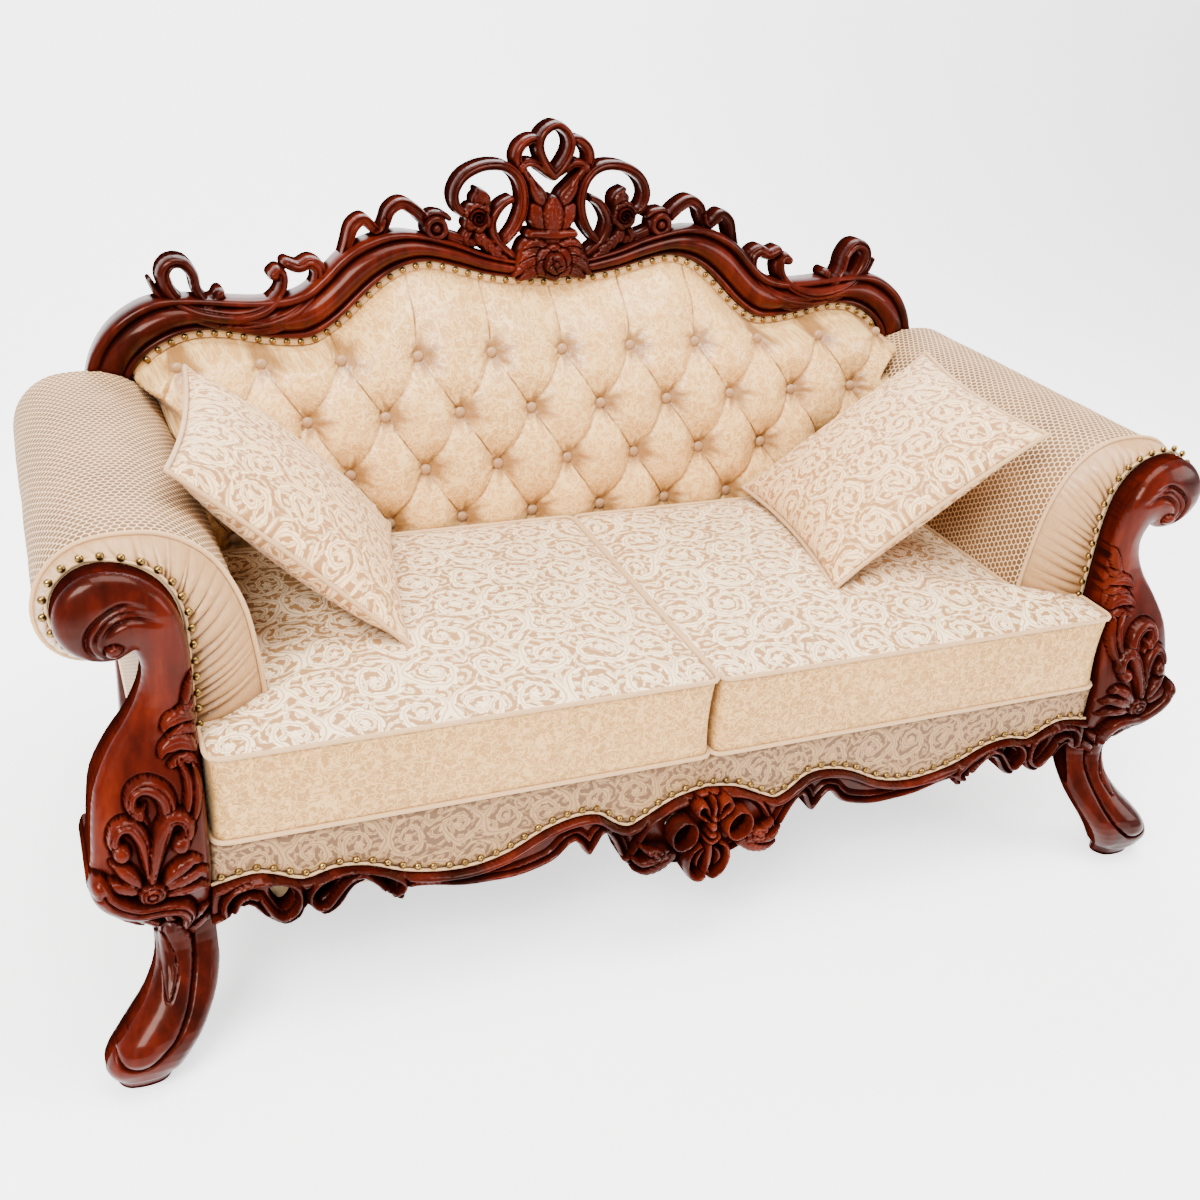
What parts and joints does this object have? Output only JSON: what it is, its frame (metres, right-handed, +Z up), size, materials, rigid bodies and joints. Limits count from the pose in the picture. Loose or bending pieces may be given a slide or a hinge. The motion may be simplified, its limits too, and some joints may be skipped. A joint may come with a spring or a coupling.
{
  "type": "sofa",
  "caption": "Traditional carved-wood sofa with a serpentine crest, cabriole legs, rolled upholstered arms, a deep-buttoned back and loose cushions; seats people side by side.",
  "frame": {"origin": "on the floor, under the middle of the sofa's bounding box", "axes": "+X to the right as seen from the front, -Y towards the front, +Z up"},
  "size_m": [1.74, 0.8799, 1.0756],
  "materials": {
    "mahogany": "gloss",
    "frame_wood": "matte",
    "plywood": "matte",
    "damask": "jacquard weave",
    "satin": "soft sheen",
    "net_cloth": "net jacquard weave",
    "filling": "matte",
    "black_cloth": "matte",
    "brass": "antique, polished",
    "steel": "satin"
  },
  "bodies": {
    "root": {"front_post_left": "mahogany", "front_post_right": "mahogany", "back_leg_left": "mahogany", "back_leg_right": "mahogany", "front_rail": "frame_wood", "back_rail": "frame_wood", "side_rail_left": "mahogany", "side_rail_right": "mahogany", "centre_stretcher": "frame_wood", "corner_blocks": "frame_wood", "corner_screws": "steel", "seat_springs": "steel", "spring_clips": "steel", "seat_deck": "satin", "front_border": "damask", "apron_rail": "mahogany", "apron_cartouche": "mahogany", "apron_nails": "brass", "arm_frame_left": "frame_wood", "arm_frame_right": "frame_wood", "arm_pad_left": "net_cloth", "arm_pad_right": "net_cloth", "arm_outside_left": "net_cloth", "arm_outside_right": "net_cloth", "arm_ruche_left": "satin", "arm_ruche_right": "satin", "arm_piping_left": "satin", "arm_piping_right": "satin", "arm_nails_left": "brass", "arm_nails_right": "brass", "crest_rail": "mahogany", "crest_cartouche": "mahogany", "crest_scroll_left": "mahogany", "crest_scroll_right": "mahogany", "crest_ribbon_left": "mahogany", "crest_ribbon_right": "mahogany", "crest_leaf_left": "mahogany", "crest_leaf_right": "mahogany", "back_pad": "satin", "back_buttons": "satin", "back_board": "plywood", "back_gimp": "satin", "outside_back": "damask", "back_nails": "brass", "dust_cover": "black_cloth"},
    "seat_cushion_left": {"seat_cushion_left": "damask", "seat_core_left": "filling"},
    "seat_cushion_right": {"seat_cushion_right": "damask", "seat_core_right": "filling"},
    "pillow_left": {"pillow_left": "damask", "pillow_insert_left": "filling"},
    "pillow_right": {"pillow_right": "damask", "pillow_insert_right": "filling"}
  },
  "joints": [
    {"name": "cushion_left_lift", "type": "slide", "parent": "root", "child": "seat_cushion_left", "axis": [0, 0, 1], "range_m": [0, 0.42]},
    {"name": "cushion_right_lift", "type": "slide", "parent": "root", "child": "seat_cushion_right", "axis": [0, 0, 1], "range_m": [0, 0.42]},
    {"name": "pillow_left_lift", "type": "slide", "parent": "seat_cushion_left", "child": "pillow_left", "axis": [0, 0, 1], "range_m": [0, 0.35]},
    {"name": "pillow_right_lift", "type": "slide", "parent": "seat_cushion_right", "child": "pillow_right", "axis": [0, 0, 1], "range_m": [0, 0.35]}
  ]
}
